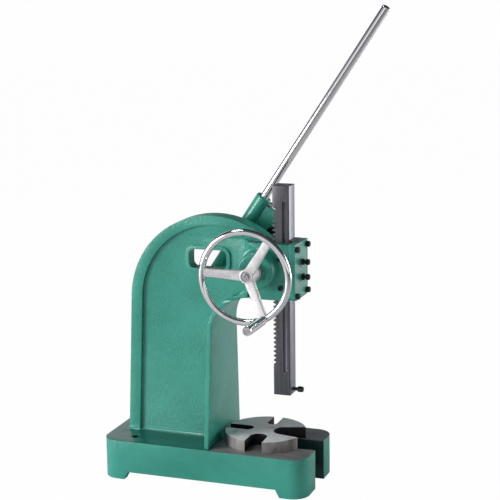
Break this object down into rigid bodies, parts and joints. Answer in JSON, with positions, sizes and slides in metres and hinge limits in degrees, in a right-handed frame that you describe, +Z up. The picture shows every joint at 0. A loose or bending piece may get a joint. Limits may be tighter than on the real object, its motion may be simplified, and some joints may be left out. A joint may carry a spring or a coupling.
{
  "type": "arbor press",
  "caption": "Ratchet arbor press: cast C frame on a slotted base, rack ram, pinion shaft with a crank handwheel and a long lever, and a slotted turning table.",
  "frame": {"origin": "middle of the overall box, on the floor under the base", "axes": "+X from the column towards the ram, +Y from the handwheel side to the lever side, +Z up"},
  "size_m": [0.6118, 0.368, 1.0421],
  "materials": {
    "green_enamel": "gloss enamel with a light orange-peel texture",
    "machined_steel": "ground, with fine turning lines",
    "blackened_steel": "black oxide",
    "chrome": "polished",
    "satin_casting": "satin plated casting",
    "bronze": "turned"
  },
  "bodies": {
    "frame": {"frame_casting": "green_enamel", "table_pivot_pin": "blackened_steel", "cover_plate": "green_enamel", "front_gib": "blackened_steel", "pinion_bush_near": "bronze", "pinion_bush_far": "bronze", "cover_screw_1": "blackened_steel", "cover_screw_2": "blackened_steel", "cover_screw_3": "blackened_steel", "cover_screw_4": "blackened_steel", "gib_adjust_screw_1": "blackened_steel", "gib_adjust_screw_2": "blackened_steel", "gib_lock_nut_1": "blackened_steel", "gib_lock_nut_2": "blackened_steel", "side_guide_screw_1": "blackened_steel", "side_guide_screw_2": "blackened_steel"},
    "ram": {"ram_rack": "blackened_steel", "ram_nose_screw": "blackened_steel"},
    "pinion": {"pinion_shaft": "blackened_steel", "wheel_key": "blackened_steel", "ratchet_key": "blackened_steel", "shaft_collar": "machined_steel", "wheel_spider": "satin_casting", "wheel_rim": "chrome", "hub_washer": "machined_steel", "hub_screw": "chrome", "grip_stud": "chrome", "ratchet_wheel": "blackened_steel", "end_washer": "machined_steel", "end_nut": "blackened_steel"},
    "grip": {"crank_grip": "chrome"},
    "lever": {"lever_rod": "chrome", "lever_set_screw": "machined_steel", "lever_socket": "green_enamel", "pawl_pin": "blackened_steel"},
    "pawl": {"pawl": "blackened_steel"},
    "table": {"table_plate": "machined_steel"}
  },
  "joints": [
    {"name": "ram_slide", "type": "slide", "parent": "frame", "child": "ram", "axis": [0, 0, 1], "range_m": [-0.08645, 0.1891]},
    {"name": "pinion_spin", "type": "hinge", "parent": "frame", "child": "pinion", "pos_m": [0.05703, 0.0685, 0.491], "axis": [0, 1, 0], "range_deg": [-526, 241]},
    {"name": "crank_grip_spin", "type": "hinge", "parent": "pinion", "child": "grip", "pos_m": [0.09894, -0.1294, 0.40508], "axis": [0, 1, 0], "continuous": true},
    {"name": "lever_swing", "type": "hinge", "parent": "frame", "child": "lever", "pos_m": [0.05703, 0.149, 0.491], "axis": [0, 1, 0], "range_deg": [-15, 105]},
    {"name": "pawl_pivot", "type": "hinge", "parent": "lever", "child": "pawl", "pos_m": [0.04221, 0.135, 0.54914], "axis": [0, 1, 0], "range_deg": [0, 15]},
    {"name": "table_turn", "type": "hinge", "parent": "frame", "child": "table", "pos_m": [0.04784, 0.0685, 0.0882], "axis": [0, 0, 1], "continuous": true}
  ],
  "couplings": [
    {"joint": "pinion_spin", "follows": "ram_slide", "rad_per_m": -48.455}
  ]
}
